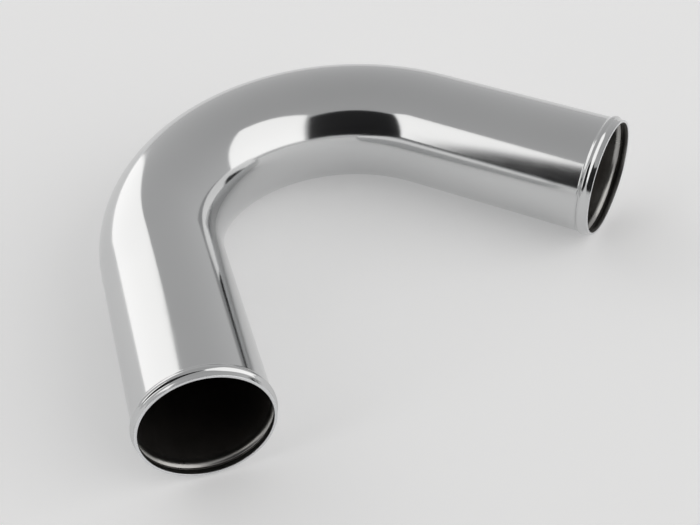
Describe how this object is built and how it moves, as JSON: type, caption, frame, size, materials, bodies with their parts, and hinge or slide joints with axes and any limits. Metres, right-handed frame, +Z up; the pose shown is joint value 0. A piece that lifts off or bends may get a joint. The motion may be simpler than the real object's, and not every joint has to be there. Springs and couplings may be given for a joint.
{
  "type": "pipe bend",
  "caption": "Mandrel-bent polished aluminium tube for an engine air duct, with two straight legs and a rolled hose bead close to each open end.",
  "frame": {"origin": "under the middle of the part's box, on the plane that the beads rest on", "axes": "+X across the legs towards the shorter right leg, +Y from the mouths towards the outside of the bend, +Z up, square to the plane of the bend"},
  "size_m": [0.3812, 0.2458, 0.079],
  "materials": {
    "aluminium": "polished outside to a mirror, plain drawn tube inside"
  },
  "bodies": {
    "root": {"pipe_bend": "aluminium"}
  },
  "joints": []
}
